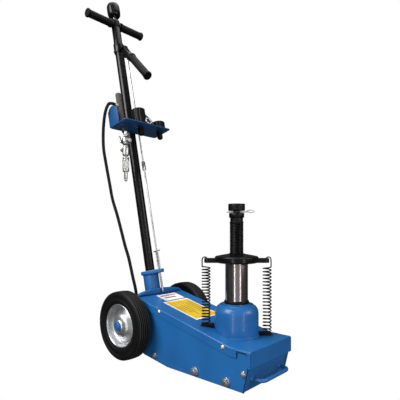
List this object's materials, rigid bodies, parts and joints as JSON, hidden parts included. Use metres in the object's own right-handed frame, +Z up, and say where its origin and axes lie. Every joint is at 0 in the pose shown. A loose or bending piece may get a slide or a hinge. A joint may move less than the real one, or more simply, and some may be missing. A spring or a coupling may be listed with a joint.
{
  "type": "air-hydraulic axle jack",
  "caption": "Wheeled air-over-hydraulic axle jack: low wedge body with a lifting ram, extension screw and saddle, rear wheels, and a leaning handle with tool tray, air valve and hose.",
  "frame": {"origin": "on the floor under the lifting ram's axis, on the base block's underside", "axes": "+X towards the ram end of the body, away from the wheels; +Y towards the jack's left; +Z up along the ram"},
  "size_m": [0.7036, 0.312, 1.1956],
  "materials": {
    "blue_paint": "glossy blue enamel",
    "black_paint": "glossy black paint",
    "black_oxide": "blackened steel",
    "rubber": "black rubber",
    "tyre_rubber": "ribbed black tyre rubber",
    "zinc": "bright zinc plate",
    "ground_steel": "ground and polished rod",
    "brass": "yellow plated",
    "cast_iron": "dark casting",
    "grey_rubber": "ribbed dark grey valve body"
  },
  "bodies": {
    "chassis": {"side_plate_right": "blue_paint", "side_plate_left": "blue_paint", "top_cover": "blue_paint", "rear_bridge": "blue_paint", "base_block": "blue_paint", "front_bar": "blue_paint", "through_bolt_front": "zinc", "through_bolt_rear": "zinc", "stay_bolt_front": "zinc", "stay_bolt_rear": "zinc", "cover_screw_front_right": "brass", "cover_screw_front_left": "brass", "cover_screw_rear_right": "brass", "cover_screw_rear_left": "brass", "cylinder_barrel": "cast_iron", "oil_tank": "blue_paint", "gland_nut": "blue_paint", "wiper_seal": "rubber", "oil_filler_plug": "zinc", "spring_lug_rear": "black_oxide", "spring_lug_front": "black_oxide", "axle": "blue_paint", "air_motor_cylinder": "blue_paint", "air_motor_cap": "cast_iron", "hose_inlet_pipe": "brass", "air_hose": "rubber", "return_spring_rear": "black_oxide", "return_spring_front": "black_oxide"},
    "motor_piston": {"air_piston": "ground_steel"},
    "release_valve": {"release_valve_stem": "zinc"},
    "ram_unit": {"ram": "ground_steel", "lift_plate": "black_paint"},
    "screw": {"extension_screw": "black_oxide", "retaining_clip": "zinc"},
    "saddle_head": {"saddle": "black_oxide"},
    "wheel_right": {"tyre_right": "tyre_rubber", "rim_right": "zinc"},
    "wheel_left": {"tyre_left": "tyre_rubber", "rim_left": "zinc"},
    "handle": {"handle_socket": "blue_paint", "socket_screw": "blue_paint", "handle_tube": "black_paint", "t_bar": "black_paint", "grip_right": "rubber", "grip_left": "rubber", "lever_bracket": "black_paint", "tool_tray": "blue_paint", "air_valve": "grey_rubber", "inlet_fittings": "zinc", "latch_spring": "zinc"},
    "release_control": {"release_knob": "black_paint", "release_rod": "zinc"},
    "lever": {"lock_lever": "black_paint", "lever_grip": "rubber"},
    "latch": {"latch_rod": "zinc"},
    "long_adapter": {"adapter_long": "black_oxide"},
    "short_adapter": {"adapter_short": "black_oxide"},
    "coupler": {"coupler_sleeve": "zinc"},
    "shut_off": {"shut_off_lever": "zinc"}
  },
  "joints": [
    {"name": "ram_lift", "type": "slide", "parent": "chassis", "child": "ram_unit", "axis": [0, 0, 1], "range_m": [-0.096, 0], "deforming": ["return_spring_rear", "return_spring_front"]},
    {"name": "screw_extend", "type": "slide", "parent": "ram_unit", "child": "screw", "axis": [0, 0, 1], "range_m": [-0.082, 0]},
    {"name": "saddle_spin", "type": "hinge", "parent": "screw", "child": "saddle_head", "pos_m": [0, 0, 0.42], "axis": [0, 0, 1], "continuous": true},
    {"name": "wheel_right_spin", "type": "hinge", "parent": "chassis", "child": "wheel_right", "pos_m": [-0.318, -0.1295, 0.1], "axis": [0, 1, 0], "continuous": true},
    {"name": "wheel_left_spin", "type": "hinge", "parent": "chassis", "child": "wheel_left", "pos_m": [-0.318, 0.1295, 0.1], "axis": [0, 1, 0], "continuous": true},
    {"name": "handle_tilt", "type": "hinge", "parent": "chassis", "child": "handle", "pos_m": [-0.318, 0, 0.1], "axis": [0, 1, 0], "range_deg": [-68, 0], "deforming": ["air_hose"]},
    {"name": "release_knob_turn", "type": "hinge", "parent": "handle", "child": "release_control", "pos_m": [-0.318, 0, 0.1], "axis": [-0.2141, 0, 0.9768], "range_deg": [0, 180]},
    {"name": "release_valve_turn", "type": "hinge", "parent": "chassis", "child": "release_valve", "pos_m": [-0.2, 0.022, 0.075], "axis": [1, 0, 0], "range_deg": [0, 180]},
    {"name": "lock_lever_pull", "type": "hinge", "parent": "handle", "child": "lever", "pos_m": [-0.4941, 0, 1.01716], "axis": [0, 1, 0], "range_deg": [-22, 0], "stiffness_Nm_per_rad": 1.5, "springref_deg": 11.46},
    {"name": "latch_slide", "type": "slide", "parent": "handle", "child": "latch", "axis": [-0.2248, 0, 0.9744], "range_m": [0, 0.0055], "deforming": ["latch_spring"]},
    {"name": "coupler_sleeve_pull", "type": "slide", "parent": "handle", "child": "coupler", "axis": [0, 0, 1], "range_m": [0, 0.004], "stiffness_N_per_m": 400, "springref_m": -0.004},
    {"name": "shut_off_turn", "type": "hinge", "parent": "handle", "child": "shut_off", "pos_m": [-0.45, -0.06, 0.6665], "axis": [1, 0, 0], "range_deg": [0, 90]},
    {"name": "adapter_long_lift", "type": "slide", "parent": "handle", "child": "long_adapter", "axis": [-0.2141, 0, 0.9768], "range_m": [0, 0.09]},
    {"name": "adapter_short_lift", "type": "slide", "parent": "handle", "child": "short_adapter", "axis": [-0.2141, 0, 0.9768], "range_m": [0, 0.05]},
    {"name": "air_piston_stroke", "type": "slide", "parent": "chassis", "child": "motor_piston", "axis": [1, 0, 0], "range_m": [0, 0.018], "stiffness_N_per_m": 600, "springref_m": -0.005}
  ],
  "couplings": [
    {"joint": "release_valve_turn", "follows": "release_knob_turn", "ratio": 1},
    {"joint": "latch_slide", "follows": "lock_lever_pull", "m_per_rad": -0.0132}
  ]
}
